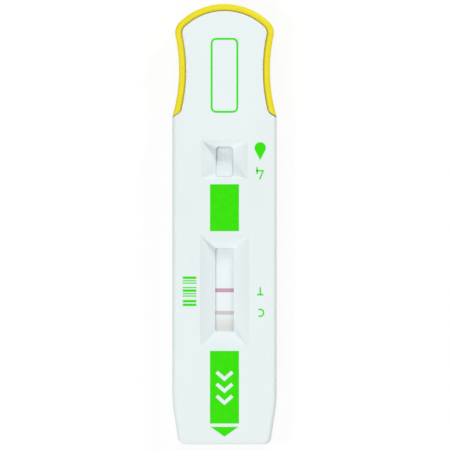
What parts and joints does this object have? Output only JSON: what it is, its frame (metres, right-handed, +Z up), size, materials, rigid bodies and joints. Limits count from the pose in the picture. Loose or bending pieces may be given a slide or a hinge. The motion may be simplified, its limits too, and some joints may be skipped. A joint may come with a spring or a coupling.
{
  "type": "lateral flow cassette",
  "caption": "Flat plastic test cassette with a waisted, rimmed grip end, a funnelled sample well, a bevelled read window over a test strip, and a tapered insertion end.",
  "frame": {"origin": "middle of the cassette's bounding box, on the surface that it lies on", "axes": "+X across the cassette, +Y along it towards the grip end, +Z up out of the printed face"},
  "size_m": [0.0228, 0.096, 0.0054],
  "materials": {
    "housing_white": "satin moulded polystyrene",
    "band_yellow": "satin soft moulding",
    "card_white": "smooth plastic card",
    "pad_white": "fibrous absorbent pad",
    "membrane_white": "fine porous film with two striped lines",
    "ink_green": "flat pad-printed ink"
  },
  "bodies": {
    "root": {"top_housing": "housing_white", "bottom_housing": "housing_white", "grip_band": "band_yellow", "backing_card": "card_white", "sample_pad": "pad_white", "conjugate_pad": "pad_white", "absorbent_pad": "pad_white", "membrane": "membrane_white", "printed_fields": "ink_green"}
  },
  "joints": []
}
